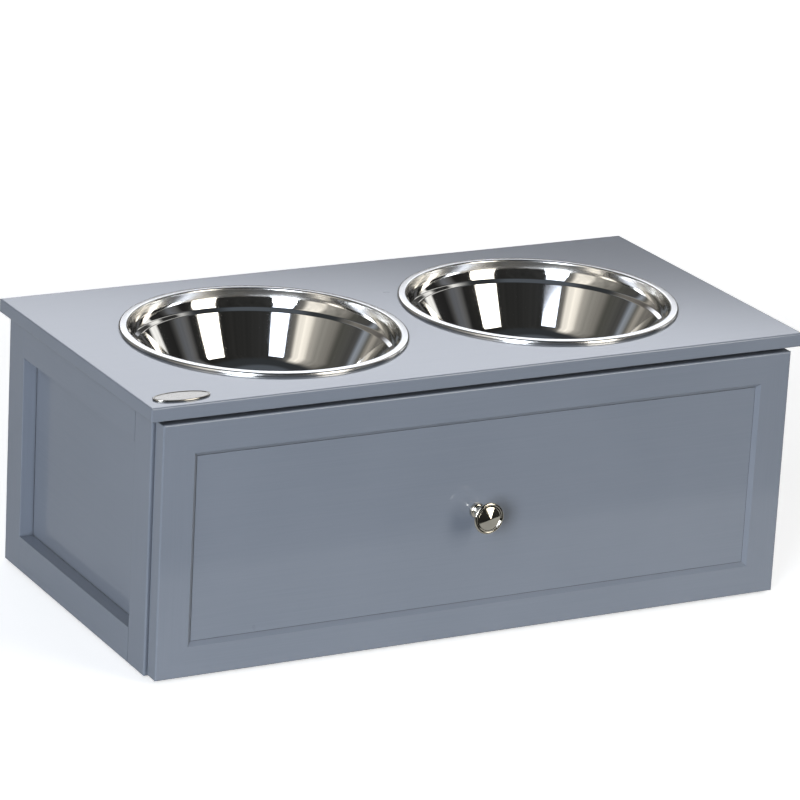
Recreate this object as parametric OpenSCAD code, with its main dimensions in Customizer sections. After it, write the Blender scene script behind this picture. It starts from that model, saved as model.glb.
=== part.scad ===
// Raised dog feeder: two steel bowls hang in a painted top board, over a cabinet
// with framed side panels and one deep drawer that runs on roller slides.
// Millimetres. X runs left to right, Y front to back, Z up. The origin is on the
// floor, under the middle of the whole feeder.

/* [Top board] */
// Width of the top board, left to right
board_w = 600; // [580:1:660]
// Depth of the top board, front to back
board_d = 303; // [303:1:340]
// Thickness of the top board
board_t = 12; // [10:1:18]
// How far the board stands past the cabinet on each side
over_side = 8; // [0:0.5:14]
// How far the board stands past the cabinet in front, over the drawer front
over_front = 16; // [0:0.5:16]
// How far the board stands past the cabinet at the back
over_back = 4; // [0:0.5:4]

/* [Cabinet] */
// Height of the cabinet under the top board
cabinet_h = 218.5; // [218.5:0.5:260]
// Thickness of the side frames
frame_t = 18; // [16:1:22]
// Width of the upright stiles
stile_w = 31; // [26:1:38]
// Height of the bottom rail of a side frame
low_rail_h = 30; // [24:1:40]
// Height of the top rail of a side frame
top_rail_h = 30.5; // [20:0.5:40]
// Thickness of the panels in the side frames and at the back
panel_t = 6; // [4:0.5:8]
// Height of the stick-on foot pads
pad_h = 2; // [1:0.5:4]

/* [Bowls] */
// Distance between the two bowl centres
bowl_pitch = 259; // [250:1:280]
// Distance from the front edge of the board to the bowl centres
bowl_back = 150.5; // [145:0.5:151]
// Outer radius of the rolled rim
rim_r = 119.5; // [115:0.5:121]
// Depth of a bowl below the board, to its floor
bowl_depth = 66; // [50:1:68]
// Thickness of the steel sheet
sheet_t = 0.9; // [0.6:0.1:1.2]

/* [Drawer] */
// Thickness of the drawer front
front_t = 15; // [12:1:18]
// Gap between the drawer front and the cabinet when shut
front_gap = 1.5; // [1:0.5:3]
// Height of the drawer front
front_h = 214.5; // [200:0.5:215]
// Width of the drawer front's stiles
front_stile_w = 31; // [26:1:38]
// Width of the drawer front's rails
front_rail_w = 29; // [24:1:36]
// Depth of the bevel round the sunk panel
bevel = 3.3; // [2:0.1:5]
// Height of the drawer box
box_h = 110; // [70:1:118]
// Thickness of the drawer box boards
box_t = 12; // [10:1:15]
// How far the knob stands out from the sunk panel
knob_len = 24; // [18:1:30]
// Diameter of the knob's face
knob_d = 27; // [24:0.5:34]

/* [Hidden] */
$fn = 64;
eps = 0.01;
edge_r = 1.5;

cab_l = -board_w / 2 + over_side;
cab_r = -cab_l;
cab_w = cab_r - cab_l;
cab_d = board_d - over_front - over_back;
in_l = cab_l + frame_t;
in_r = cab_r - frame_t;
floor_z = pad_h;
board_z = floor_z + cabinet_h;
top_z = board_z + board_t;
face_reach = front_gap + front_t;
knob_reach = face_reach - bevel + knob_len;
cab_y = -(board_d - over_front - knob_reach) / 2;
board_y = cab_y - over_front;

opening_y = cab_d - 2 * stile_w;
opening_top = cabinet_h - top_rail_h;
lip_t = frame_t - panel_t;
rabbet_w = 8;
panel_gap = 0.3;
back_rail_t = 10;
rail_h = 36;
low_rail_t = 12;
low_rail_w = 40;

// Bowl sections, as radius and height above the board's top face
rim_w = 7.5;
rim_h = 3;
wall_r = rim_r - rim_w;
hole_r = wall_r + sheet_t + 0.6;
hole_chamfer = 1;
floor_r = 76;
bowl_x = [-bowl_pitch / 2, bowl_pitch / 2];

// Roller slides: the cabinet's channel and the drawer's angle
slide_gap = 12.5;
steel_t = 1.1;
slide_len = 263;
slide_y = 2;
slide_z = 20;
roller_r = 8.7;
roller_w = 8;
roller_gap = 0.3;
roller_bore = 2.6;
roller_side_gap = 0.5;
rivet_r = 2.5;
rivet_head_r = 3.8;
rivet_head_h = 0.5;
rivet_play = 0.3;
channel_floor_w = 9.5;
channel_lip_w = 7;
channel_lip_gap = 1.2;
runner_flange_w = 10;
roller_z = slide_z + roller_gap + roller_r;
runner_top = roller_z + roller_r + roller_gap + steel_t;
channel_top = runner_top + channel_lip_gap + steel_t;
front_roller_y = 14;
rear_roller_y = 248;
runner_len = 258;

box_w = in_r - in_l - 2 * slide_gap;
box_l = in_l + slide_gap;
box_y = -front_gap;
box_d = runner_len + 2;
bottom_t = 4;
bottom_z = slide_z + 8;
groove_d = 5;

front_l = cab_l + 2.5;
front_w = cab_w - 5;
front_z = 1;
knob_x = front_l + front_w / 2 - 3.5;
knob_z = front_z + front_h / 2 + 1;

screw_r = 1.6;
screw_head_r = 3.4;
block_s = 20;
dowel_r = 4;
dowel_len = 24;
badge_x = -board_w / 2 + 34;
badge_y = 19;
badge_size = [49, 21];
badge_h = 1.4;

paint = [0.50, 0.53, 0.58];
steel = [0.75, 0.75, 0.76];
zinc = [0.66, 0.67, 0.68];
timber = [0.76, 0.62, 0.44];

// Puts a piece measured from the board's front edge and the floor in its place
module placed() translate([0, board_y, 0]) children();

// The same, for a piece measured from the front and the bottom of the cabinet
module standing() translate([0, cab_y, floor_z]) children();

// A copy on the right-hand side of what is drawn for the left one
module right_hand() translate([cab_l + cab_r, 0, 0]) mirror([1, 0, 0]) children();

// Plan of a board with chosen corners rounded: near left, near right, far right, far left
module plan(w, d, r, round_at) {
    difference() {
        square([w, d]);
        for (k = [0:3])
            if (round_at[k])
                translate([k == 1 || k == 2 ? w : 0, k > 1 ? d : 0])
                    rotate(k * 90)
                        difference() {
                            translate([-1, -1]) square(r + 1);
                            translate([r, r]) circle(r);
                        }
    }
}

// A bar along X whose section in Y and Z has its chosen corners rounded
module bar_x(w, d, h, r, round_at)
    rotate([90, 0, 90]) linear_extrude(w) plan(d, h, r, round_at);

// A wood screw with a countersunk head, its head's face at the origin, going along +Z
module screw(len, r = screw_r, head_r = screw_head_r) {
    head_h = head_r - r;
    cylinder(h = head_h, r1 = head_r, r2 = r);
    cylinder(h = len - 2 * r, r = r);
    translate([0, 0, len - 2 * r]) cylinder(h = 2 * r, r1 = r, r2 = 0.3);
}

// A fluted dowel's plain body, half of it on each side of the origin along +Z
module dowel(r = dowel_r, len = dowel_len) {
    chamfer = 1;
    translate([0, 0, -len / 2 + chamfer]) cylinder(h = len - 2 * chamfer, r = r);
    translate([0, 0, -len / 2]) cylinder(h = chamfer, r1 = r - chamfer, r2 = r);
    translate([0, 0, len / 2 - chamfer]) cylinder(h = chamfer, r1 = r, r2 = r - chamfer);
}

// Top board

module board_solid() {
    intersection() {
        rotate([90, 0, 90]) linear_extrude(board_w) plan(board_d, board_t, edge_r, [1, 1, 1, 1]);
        translate([0, board_d, 0]) rotate([90, 0, 0])
            linear_extrude(board_d) plan(board_w, board_t, edge_r, [1, 1, 1, 1]);
    }
}

module top_board() color(paint) placed() {
    difference() {
        translate([-board_w / 2, 0, board_z]) board_solid();
        for (x = bowl_x)
            translate([x, bowl_back, board_z]) {
                translate([0, 0, -1]) cylinder(h = board_t + 2, r = hole_r, $fn = 128);
                translate([0, 0, board_t - hole_chamfer])
                    cylinder(h = hole_chamfer + eps, r1 = hole_r, r2 = hole_r + hole_chamfer, $fn = 128);
            }
        translate([0, over_front, floor_z]) corner_screws_up();
    }
}

// Side frames, drawn for the left side and mirrored for the right one

// Where the dowels between stiles and rails lie: y of the joint and height
frame_dowel_at = [for (y = [stile_w, cab_d - stile_w])
    for (z = [low_rail_h * 0.3, low_rail_h * 0.7, cabinet_h - top_rail_h * 0.5]) [y, z]];

module frame_dowel_set()
    for (p = frame_dowel_at)
        translate([cab_l + lip_t / 2 + 1, p[0], p[1]]) rotate([90, 0, 0]) dowel(3);

// Room in a frame for the panel, let in from the inner face
module panel_rabbet()
    translate([cab_l + lip_t, stile_w - rabbet_w, low_rail_h - rabbet_w])
        cube([panel_t + 1, opening_y + 2 * rabbet_w, opening_top - low_rail_h + 2 * rabbet_w]);

// Room in the back stiles for the back panel
module back_rabbet()
    translate([in_l - rabbet_w, cab_d - panel_t, -1])
        cube([rabbet_w + frame_t, panel_t + 1, cabinet_h + 2]);

module left_frame_cuts() {
    panel_rabbet();
    back_rabbet();
    frame_dowel_set();
    rail_dowel_set();
    corner_screws_side();
    cabinet_slide_screw_set();
    back_screw_set();
}

module stile_blank(y, round_at)
    translate([cab_l, y, 0]) linear_extrude(cabinet_h) plan(frame_t, stile_w, edge_r, round_at);

module rail_blank(z, h)
    translate([cab_l, stile_w, z]) cube([frame_t, opening_y, h]);

module front_stile_shape() difference() { stile_blank(0, [1, 0, 0, 0]); left_frame_cuts(); }
module back_stile_shape() difference() { stile_blank(cab_d - stile_w, [0, 0, 0, 1]); left_frame_cuts(); }
module top_rail_shape() difference() { rail_blank(opening_top, top_rail_h); left_frame_cuts(); }
module bottom_rail_shape() difference() { rail_blank(0, low_rail_h); left_frame_cuts(); }
module side_panel_shape()
    difference() {
        translate([cab_l + lip_t + panel_gap, stile_w - rabbet_w + panel_gap, low_rail_h - rabbet_w + panel_gap])
            cube([panel_t - panel_gap, opening_y + 2 * (rabbet_w - panel_gap),
                opening_top - low_rail_h + 2 * (rabbet_w - panel_gap)]);
        cabinet_slide_screw_set();
    }

module left_front_stile() color(paint) standing() front_stile_shape();
module left_back_stile() color(paint) standing() back_stile_shape();
module left_top_rail() color(paint) standing() top_rail_shape();
module left_bottom_rail() color(paint) standing() bottom_rail_shape();
module left_side_panel() color(paint) standing() side_panel_shape();
module right_front_stile() color(paint) standing() right_hand() front_stile_shape();
module right_back_stile() color(paint) standing() right_hand() back_stile_shape();
module right_top_rail() color(paint) standing() right_hand() top_rail_shape();
module right_bottom_rail() color(paint) standing() right_hand() bottom_rail_shape();
module right_side_panel() color(paint) standing() right_hand() side_panel_shape();

module frame_dowels() color(timber) standing() {
    frame_dowel_set();
    right_hand() frame_dowel_set();
}

// Cross rails between the side frames

// Where the dowels at the left ends of the cross rails lie: y and height
rail_dowel_at = [
    [frame_t / 2, cabinet_h - rail_h * 0.3], [frame_t / 2, cabinet_h - rail_h * 0.75],
    [cab_d - panel_t - back_rail_t / 2, cabinet_h - rail_h * 0.3],
    [cab_d - panel_t - back_rail_t / 2, cabinet_h - rail_h * 0.75],
    [low_rail_w * 0.15, low_rail_t / 2], [low_rail_w * 0.36, low_rail_t / 2],
    [cab_d - panel_t - back_rail_t / 2, rail_h * 0.3],
    [cab_d - panel_t - back_rail_t / 2, rail_h * 0.75]];

module rail_dowel_set()
    for (p = rail_dowel_at)
        translate([in_l, p[0], p[1]]) rotate([0, 90, 0]) dowel(3);

module rail_dowels() color(timber) standing() {
    rail_dowel_set();
    right_hand() rail_dowel_set();
}

module cross_rail(y, z, d, h)
    difference() {
        translate([in_l, y, z]) cube([in_r - in_l, d, h]);
        rail_dowel_set();
        right_hand() rail_dowel_set();
        back_screw_rows();
    }

module front_top_rail() color(paint) standing()
    cross_rail(0, cabinet_h - rail_h, frame_t, rail_h);
module back_top_rail() color(paint) standing()
    cross_rail(cab_d - panel_t - back_rail_t, cabinet_h - rail_h, back_rail_t, rail_h);
module front_bottom_rail() color(paint) standing()
    cross_rail(0, 0, low_rail_w, low_rail_t);
module back_bottom_rail() color(paint) standing()
    cross_rail(cab_d - panel_t - back_rail_t, 0, back_rail_t, rail_h);

// Back panel, let into the back stiles, and its screws

back_screw_len = 12;
back_screw_z = [cabinet_h * 0.36, cabinet_h * 0.64];
back_screw_x = [0.07, 0.355, 0.645, 0.93];

// One screw into a back stile at each height
module back_screw_set()
    for (z = back_screw_z)
        translate([in_l - rabbet_w / 2, cab_d, z]) rotate([90, 0, 0]) screw(back_screw_len);

// A row of screws into the top back rail and one into the bottom back rail
module back_screw_rows()
    for (s = back_screw_x)
        for (z = [rail_h * 0.5, cabinet_h - rail_h * 0.5])
            translate([in_l + s * (in_r - in_l), cab_d, z]) rotate([90, 0, 0]) screw(back_screw_len);

module all_back_screws() {
    back_screw_rows();
    back_screw_set();
    right_hand() back_screw_set();
}

module back_panel() color(paint) standing()
    difference() {
        translate([in_l - rabbet_w + panel_gap, cab_d - panel_t, 0])
            cube([in_r - in_l + 2 * (rabbet_w - panel_gap), panel_t, cabinet_h]);
        all_back_screws();
    }

module back_screws() color(zinc) standing() all_back_screws();

// Corner blocks under the board, each with one screw up and one into the side frame

block_gap = 0.2;
// Each row: how far back a block starts, then where along it its screws go, side and up
block_rows = [
    [frame_t + block_gap, 0.34, 0.72],
    [cab_d - panel_t - back_rail_t - block_s - block_gap, 0.72, 0.34]];
block_z = cabinet_h - block_s;
up_screw_len = block_s + board_t * 0.55;
side_screw_len = block_s + frame_t * 0.55;

// Screws from the underside of the blocks into the board
module corner_screws_up()
    for (row = block_rows)
        for (x = [in_l + block_s * 0.62, in_r - block_s * 0.62])
            translate([x, row[0] + row[2] * block_s, block_z]) screw(up_screw_len);

// Screws from the inner face of the left blocks into the side frame
module corner_screws_side()
    for (row = block_rows)
        translate([in_l + block_s, row[0] + row[1] * block_s, block_z + block_s * 0.8])
            rotate([0, -90, 0]) screw(side_screw_len);

module corner_block(y)
    translate([in_l, y, block_z])
        rotate([0, 90, 0]) mirror([1, 0, 0])
            linear_extrude(block_s) plan(block_s, block_s, 2, [1, 1, 0, 0]);

module left_blocks()
    for (row = block_rows) corner_block(row[0]);

module corner_blocks() color(timber) standing()
    difference() {
        union() {
            left_blocks();
            right_hand() left_blocks();
        }
        corner_screws_up();
        corner_screws_side();
        right_hand() corner_screws_side();
    }

module corner_screws() color(zinc) standing() {
    corner_screws_up();
    corner_screws_side();
    right_hand() corner_screws_side();
}

// Foot pads

pad_r = 6;
pad_in = 11;

module foot_pads() color([0.2, 0.2, 0.21]) standing()
    for (x = [cab_l + pad_in, cab_r - pad_in])
        for (y = [stile_w / 2, cab_d - stile_w / 2])
            translate([x, y, -pad_h]) cylinder(h = pad_h, r1 = pad_r - 0.5, r2 = pad_r);

// Plain oval plate on the board, with a raised border

badge_border = 1.5;
badge_step = 0.4;

module oval(long, short, n = 48)
    polygon([for (k = [0:n - 1]) [long / 2 * cos(360 * k / n), short / 2 * sin(360 * k / n)]]);

module badge_plate() color(steel) placed()
    translate([badge_x, badge_y, top_z])
        difference() {
            linear_extrude(badge_h) oval(badge_size[0], badge_size[1]);
            translate([0, 0, badge_h - badge_step]) linear_extrude(1)
                oval(badge_size[0] - 2 * badge_border, badge_size[1] - 2 * badge_border);
        }

// Bowls

function arc(cx, cy, r, a0, a1, n = 8) =
    [for (k = [0:n]) let (a = a0 + (a1 - a0) * k / n) [cx + r * cos(a), cy + r * sin(a)]];

// Direction of a path at point k, from its neighbours
function along(p, k) = let (d = p[min(k + 1, len(p) - 1)] - p[max(k - 1, 0)]) d / norm(d);

// A strip of the given thickness to the left of a path, or to the right of it if negative
function strip(p, t) = concat(p, [for (k = [len(p) - 1:-1:0])
    let (d = along(p, k)) [p[k][0] - d[1] * t, p[k][1] + d[0] * t]]);

function polar(r, a) = [r * cos(a), r * sin(a)];

// The band under the rim leans in along a long arc, then a cove and a bead lead into the cone
curl_r = 2.4;
curl_drop = 0.3;
lip_r = 2.3;
foot_r = 36;
band_top = 4.5;
band_r = 44;
band_lean = 13;
bead_r = 2.5;
ledge_lean = 62;
ledge_w = 1;

band_low = [wall_r - band_r, -band_top] + polar(band_r, -band_lean);
cove_c = band_low - polar(bead_r, -band_lean);
ledge_low = cove_c + polar(bead_r, -ledge_lean) - ledge_w * [sin(ledge_lean), cos(ledge_lean)];
bead_c = ledge_low - polar(bead_r, 180 - ledge_lean);
cone_lean = atan2(ledge_low[0] - floor_r, bowl_depth + ledge_low[1]);
foot_c = [floor_r - foot_r * tan((90 - cone_lean) / 2), foot_r - bowl_depth];

// Inside of the bowl, from its middle up the wall and over the rim to the rim's outer edge
bowl_path = concat(
    [[0.2, -bowl_depth]],
    arc(foot_c[0], foot_c[1], foot_r, -90, -cone_lean, 12),
    arc(bead_c[0], bead_c[1], bead_r, 180 - cone_lean, 180 - ledge_lean, 3),
    arc(cove_c[0], cove_c[1], bead_r, -ledge_lean, -band_lean, 4),
    arc(wall_r - band_r, -band_top, band_r, -band_lean * 0.75, 0, 3),
    arc(wall_r + lip_r, rim_h - lip_r, lip_r, 180, 90, 6),
    arc(rim_r - curl_r, rim_h - curl_drop - curl_r, curl_r, 90, 0, 6));

module bowl_shape(x) color(steel) placed()
    translate([x, bowl_back, top_z])
        rotate_extrude($fn = 128) polygon(strip(bowl_path, -sheet_t));

module left_bowl() bowl_shape(bowl_x[0]);
module right_bowl() bowl_shape(bowl_x[1]);

// Roller slides, drawn for the left side

module slide_section(points, y, len)
    translate([0, y + len, 0]) rotate([90, 0, 0]) linear_extrude(len) polygon(points);

// Channel screwed to the cabinet: web, floor and a short top lip
channel_points = [
    [in_l, slide_z - steel_t], [in_l + channel_floor_w, slide_z - steel_t],
    [in_l + channel_floor_w, slide_z], [in_l + steel_t, slide_z],
    [in_l + steel_t, channel_top - steel_t], [in_l + channel_lip_w, channel_top - steel_t],
    [in_l + channel_lip_w, channel_top], [in_l, channel_top]];

// Angle under the drawer side: foot flange, web and the flange that rides the roller
runner_points = [
    [box_l + box_t, slide_z - steel_t], [box_l + box_t, slide_z], [box_l, slide_z],
    [box_l, runner_top], [box_l - runner_flange_w, runner_top],
    [box_l - runner_flange_w, runner_top - steel_t],
    [box_l - steel_t, runner_top - steel_t], [box_l - steel_t, slide_z - steel_t]];

slide_screw_len = 12;
slide_screw_head_r = 2.7;
cabinet_screw_y = [stile_w - 4, cab_d - stile_w + 3.5];
drawer_screw_y = [20, 125, 230];

module cabinet_slide_screw_set()
    for (y = cabinet_screw_y)
        translate([in_l + steel_t, y, roller_z]) rotate([0, -90, 0])
            screw(slide_screw_len, screw_r, slide_screw_head_r);

module drawer_slide_screw_set()
    for (y = drawer_screw_y)
        translate([box_l + box_t / 3, box_y + y, slide_z - steel_t])
            screw(slide_screw_len, screw_r, slide_screw_head_r);

// A rivet through a slide's web and a roller, from the web's back along +Z
module rivet() {
    shank = steel_t + roller_side_gap + roller_w + rivet_play;
    cylinder(h = shank, r = rivet_r);
    translate([0, 0, shank]) cylinder(h = rivet_head_h, r1 = rivet_head_r, r2 = rivet_head_r - 0.8);
}

// The cabinet's front rivet points to the drawer, the drawer's rear rivet to the cabinet
module front_rivet() translate([in_l, front_roller_y, roller_z]) rotate([0, 90, 0]) rivet();
module rear_rivet() translate([box_l, rear_roller_y, roller_z]) rotate([0, -90, 0]) rivet();

module cabinet_slide_shape()
    difference() {
        slide_section(channel_points, slide_y, slide_len);
        front_rivet();
        cabinet_slide_screw_set();
    }

module drawer_slide_shape()
    difference() {
        slide_section(runner_points, box_y, runner_len);
        rear_rivet();
        drawer_slide_screw_set();
    }

// A nylon roller with a bore, a flat tread and eased edges, its inner face at the origin,
// and a shallow dish between its tread and its hub
roller_ease = 0.8;
tread_t = 2.2;
hub_t = 1.4;
dish_h = 1.2;

module roller()
    rotate_extrude($fn = 72)
        polygon([[roller_bore, 0], [roller_r - roller_ease, 0], [roller_r, roller_ease],
            [roller_r, roller_w - roller_ease], [roller_r - roller_ease, roller_w],
            [roller_r - tread_t, roller_w], [roller_r - tread_t - 0.4, roller_w - dish_h],
            [roller_bore + hub_t + 0.2, roller_w - dish_h], [roller_bore + hub_t, roller_w],
            [roller_bore, roller_w]]);

module front_roller_shape()
    translate([in_l + steel_t + roller_side_gap, front_roller_y, roller_z]) rotate([0, 90, 0]) roller();
module rear_roller_shape()
    translate([box_l - steel_t - roller_side_gap, rear_roller_y, roller_z]) rotate([0, -90, 0]) roller();

module left_cabinet_slide() color(zinc) standing() cabinet_slide_shape();
module right_cabinet_slide() color(zinc) standing() right_hand() cabinet_slide_shape();
module left_drawer_slide() color(zinc) standing() drawer_slide_shape();
module right_drawer_slide() color(zinc) standing() right_hand() drawer_slide_shape();
module left_front_roller() color([0.93, 0.93, 0.9]) standing() front_roller_shape();
module right_front_roller() color([0.93, 0.93, 0.9]) standing() right_hand() front_roller_shape();
module left_rear_roller() color([0.93, 0.93, 0.9]) standing() rear_roller_shape();
module right_rear_roller() color([0.93, 0.93, 0.9]) standing() right_hand() rear_roller_shape();

module cabinet_roller_rivets() color(steel) standing() {
    front_rivet();
    right_hand() front_rivet();
}

module drawer_roller_rivets() color(steel) standing() {
    rear_rivet();
    right_hand() rear_rivet();
}

module cabinet_slide_screws() color(zinc) standing() {
    cabinet_slide_screw_set();
    right_hand() cabinet_slide_screw_set();
}

module drawer_slide_screws() color(zinc) standing() {
    drawer_slide_screw_set();
    right_hand() drawer_slide_screw_set();
}

// Drawer front: a mitred frame with a bevelled inner edge round a sunk panel

front_y = -face_reach;
panel_y = front_y + bevel;
tongue = 7;
tongue_y = bevel + 1.5;
tongue_t = 5;

// Section of a frame member: width w from its outer edge at x = 0, face at y = 0
module front_section(w)
    difference() {
        plan(w, front_t, edge_r, [1, 0, 0, 0]);
        polygon([[w - bevel, -1], [w - bevel, 0], [w, bevel], [w + 1, bevel], [w + 1, -1]]);
        translate([w - tongue, tongue_y]) square([tongue + 1, tongue_t]);
    }

// Outline of one member seen from the front, with mitred ends: w wide, len long
module mitre(w, end_w, len)
    polygon([[0, 0], [w, end_w], [w, len - end_w], [0, len]]);

module front_member(w, end_w, len)
    intersection() {
        linear_extrude(len) front_section(w);
        translate([0, front_t + 1, 0]) rotate([90, 0, 0]) linear_extrude(front_t + 2)
            mitre(w, end_w, len);
    }

module front_stile() front_member(front_stile_w, front_rail_w, front_h);
module front_rail()
    rotate([0, -90, 0]) mirror([0, 0, 1]) front_member(front_rail_w, front_stile_w, front_w);

module drawer_front_left_stile() color(paint) standing()
    translate([front_l, front_y, front_z]) front_stile();
module drawer_front_right_stile() color(paint) standing()
    translate([front_l + front_w, front_y, front_z]) mirror([1, 0, 0]) front_stile();
module drawer_front_bottom_rail() color(paint) standing()
    translate([front_l, front_y, front_z]) front_rail();
module drawer_front_top_rail() color(paint) standing()
    translate([front_l, front_y, front_z + front_h]) mirror([0, 0, 1]) front_rail();

// A slab behind the frame's opening, larger than it by grow on every side
module opening_slab(grow, y, t)
    translate([front_l + front_stile_w - grow, y, front_z + front_rail_w - grow])
        cube([front_w - 2 * (front_stile_w - grow), t, front_h - 2 * (front_rail_w - grow)]);

module drawer_front_panel() color(paint) standing()
    difference() {
        union() {
            opening_slab(-panel_gap, panel_y, front_t - bevel);
            opening_slab(tongue - panel_gap, front_y + tongue_y + 0.1, tongue_t - 0.2);
        }
        knob_screw_hole();
        front_screw_set();
    }

// Drawer box

front_screw_z = [slide_z + box_h * 0.3, slide_z + box_h * 0.8];
box_screw_z = [slide_z + box_h * 0.45, slide_z + box_h * 0.85];
front_screw_len = box_t + 9;

// Screws from inside the box into the back of the drawer front's panel
module front_screw_set()
    for (x = [box_l + box_t + 7, box_l + box_w - box_t - 7])
        for (z = front_screw_z)
            translate([x, box_y + box_t, z]) rotate([90, 0, 0]) screw(front_screw_len);

// Screws through the left side into the ends of the inner front and the back
module box_screw_set()
    for (y = [box_y + box_t / 2, box_y + box_d - box_t / 2])
        for (z = box_screw_z)
            translate([box_l, y, z]) rotate([0, 90, 0]) screw(30);

module box_cuts() {
    box_screw_set();
    translate([2 * box_l + box_w, 0, 0]) mirror([1, 0, 0]) box_screw_set();
    front_screw_set();
    translate([box_l + box_t - groove_d, box_y + box_t - groove_d, bottom_z])
        cube([box_w - 2 * (box_t - groove_d), box_d - 2 * (box_t - groove_d), bottom_t]);
}

module box_side()
    difference() {
        translate([box_l, box_y, slide_z])
            translate([0, box_d, 0]) rotate([90, 0, 0]) linear_extrude(box_d)
                plan(box_t, box_h, 1.5, [0, 0, 1, 1]);
        box_cuts();
        drawer_slide_screw_set();
    }

module box_end(y)
    difference() {
        translate([box_l + box_t, y, slide_z])
            bar_x(box_w - 2 * box_t, box_t, box_h, 1.5, [0, 0, 1, 1]);
        box_cuts();
        knob_screw_hole();
    }

module drawer_left_side() color(timber) standing() box_side();
module drawer_right_side() color(timber) standing() right_hand() box_side();
module drawer_inner_front() color(timber) standing() box_end(box_y);
module drawer_back() color(timber) standing() box_end(box_y + box_d - box_t);

module drawer_bottom() color(timber) standing()
    translate([box_l + box_t - groove_d + panel_gap, box_y + box_t - groove_d + panel_gap, bottom_z + 0.1])
        cube([box_w - 2 * (box_t - groove_d + panel_gap), box_d - 2 * (box_t - groove_d + panel_gap),
            bottom_t - 0.2]);

module drawer_front_screws() color(zinc) standing() front_screw_set();

module drawer_box_screws() color(zinc) standing() {
    box_screw_set();
    translate([2 * box_l + box_w, 0, 0]) mirror([1, 0, 0]) box_screw_set();
}

// Knob and its machine screw

knob_screw_r = 2;
knob_screw_head_h = 2.4;
knob_bite = 9;
knob_foot_r = 6.4;

module knob_screw_hole()
    translate([knob_x, 40, knob_z]) rotate([90, 0, 0]) cylinder(h = 80, r = knob_screw_r);

// Half section of the knob: radius, and distance out from the sunk panel
knob_points = concat(
    [[0, 0], [knob_foot_r, 0]],
    arc(knob_foot_r - 1.6, 1.8, 1.6, 0, 80, 5),
    [[4.2, 4.6], [3.9, 7], [4.3, 11], [6, 15]],
    arc(knob_d / 2 - 1.3, knob_len - 3.2, 1.3, -60, 90, 8),
    [[knob_d / 2 - 2.6, knob_len - 2.6], [knob_d / 2 - 3, knob_len - 1.8],
        [knob_d / 2 - 3.8, knob_len - 1.6], [0, knob_len]]);

module knob() color(steel) standing()
    difference() {
        translate([knob_x, panel_y, knob_z]) rotate([90, 0, 0])
            rotate_extrude($fn = 96) polygon(knob_points);
        translate([knob_x, panel_y + 1, knob_z]) rotate([90, 0, 0])
            cylinder(h = knob_bite + 1, r = knob_screw_r);
    }

module knob_screw() color(zinc) standing()
    translate([knob_x, box_y + box_t, knob_z]) {
        rotate([90, 0, 0]) cylinder(h = box_y + box_t - panel_y + knob_bite - 0.5, r = knob_screw_r);
        rotate([-90, 0, 0])
            difference() {
                cylinder(h = knob_screw_head_h, r1 = 4.2, r2 = 3.4);
                for (a = [0, 90])
                    rotate(a) translate([-2.4, -0.5, knob_screw_head_h - 1.2]) cube([4.8, 1, 2]);
            }
    }

top_board();
left_front_stile();
left_back_stile();
left_top_rail();
left_bottom_rail();
left_side_panel();
right_front_stile();
right_back_stile();
right_top_rail();
right_bottom_rail();
right_side_panel();
front_top_rail();
back_top_rail();
front_bottom_rail();
back_bottom_rail();
back_panel();
corner_blocks();
corner_screws();
back_screws();
frame_dowels();
rail_dowels();
foot_pads();
badge_plate();
left_cabinet_slide();
right_cabinet_slide();
cabinet_roller_rivets();
cabinet_slide_screws();
left_bowl();
right_bowl();
drawer_front_top_rail();
drawer_front_bottom_rail();
drawer_front_left_stile();
drawer_front_right_stile();
drawer_front_panel();
drawer_inner_front();
drawer_left_side();
drawer_right_side();
drawer_back();
drawer_bottom();
left_drawer_slide();
right_drawer_slide();
drawer_roller_rivets();
drawer_slide_screws();
drawer_front_screws();
drawer_box_screws();
knob();
knob_screw();
left_front_roller();
right_front_roller();
left_rear_roller();
right_rear_roller();
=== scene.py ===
# %% [markdown]
# A raised dog feeder: two polished steel bowls hang in a painted top board, over a cabinet with
# framed sides and one deep drawer on roller slides. The construction comes packed as a fixed frame.
# Here it gets its finishes, its turned and pressed metal at full smoothness, its eased edges, and a
# small photo studio. The boards could be modelled again in Blender, but then one might end up a hair
# away from where it was built, so the frame's own meshes stay wherever they look right. Sizes are in
# metres, and MM turns a workshop size into them.

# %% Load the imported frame
import math
import bmesh
import bpy
from mathutils import Matrix, Vector


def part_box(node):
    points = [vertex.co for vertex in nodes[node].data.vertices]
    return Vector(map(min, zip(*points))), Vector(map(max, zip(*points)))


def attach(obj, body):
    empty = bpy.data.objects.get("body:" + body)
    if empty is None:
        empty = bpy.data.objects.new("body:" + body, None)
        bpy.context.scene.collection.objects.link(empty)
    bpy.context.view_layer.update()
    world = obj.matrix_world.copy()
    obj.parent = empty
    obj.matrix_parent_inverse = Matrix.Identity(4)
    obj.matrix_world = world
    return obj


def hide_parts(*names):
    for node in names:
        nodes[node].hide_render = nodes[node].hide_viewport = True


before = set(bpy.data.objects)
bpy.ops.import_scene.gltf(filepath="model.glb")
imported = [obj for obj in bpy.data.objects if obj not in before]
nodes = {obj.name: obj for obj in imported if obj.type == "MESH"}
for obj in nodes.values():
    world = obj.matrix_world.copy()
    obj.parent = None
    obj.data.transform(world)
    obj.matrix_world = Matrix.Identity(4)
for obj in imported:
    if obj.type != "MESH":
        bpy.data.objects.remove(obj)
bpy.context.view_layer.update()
MM = 0.001
print("pieces in the frame:", len(nodes))

# %% [markdown]
# The camera stands left of the feeder and well back with a long lens, as for a catalogue picture, so
# the edges run almost parallel. It looks slightly down, and leans a little to its right. It could be
# aimed by a constraint on an empty, but a matrix needs nothing else in the scene. A camera in Blender
# looks along its own -Z, so a rotation that points -Z at the feeder is made first, and the lean is a
# turn about that line.

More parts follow.
